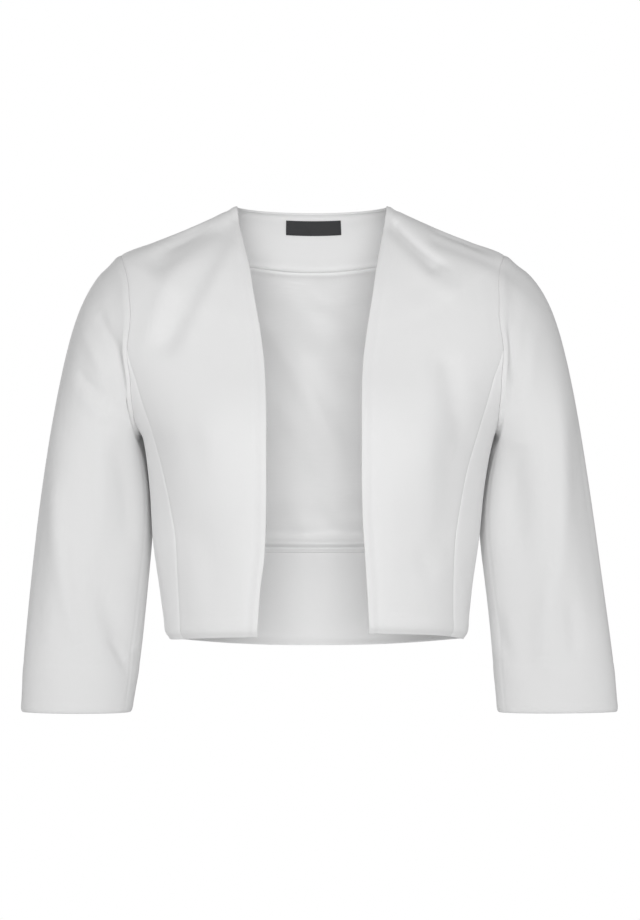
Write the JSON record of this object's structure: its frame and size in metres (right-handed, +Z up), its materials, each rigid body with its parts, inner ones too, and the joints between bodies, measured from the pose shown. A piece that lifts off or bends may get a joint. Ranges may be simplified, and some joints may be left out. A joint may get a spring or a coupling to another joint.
{
  "type": "bolero jacket",
  "caption": "Cropped open-front bolero jacket with three-quarter set-in sleeves, collarless neckline, shaped side-front seams and a lined back.",
  "frame": {"origin": "midway between the shoulders, at the height of the middle of the shoulder seams and in their plane, where the wearer's shoulders carry the jacket", "axes": "+Z up, +X towards the wearer's left (the right of the picture), -Y the way the wearer faces"},
  "size_m": [0.6072, 0.2325, 0.5159],
  "materials": {
    "shell_fabric": "matt crepe",
    "lining_satin": "soft satin",
    "label_woven": "woven ribbon"
  },
  "bodies": {
    "root": {"back": "shell_fabric", "front_left": "shell_fabric", "front_right": "shell_fabric", "hem_facing": "shell_fabric", "label": "label_woven", "lining_back": "lining_satin", "neck_facing": "shell_fabric", "side_front_left": "shell_fabric", "side_front_right": "shell_fabric", "sleeve_left": "shell_fabric", "sleeve_right": "shell_fabric"}
  },
  "joints": []
}
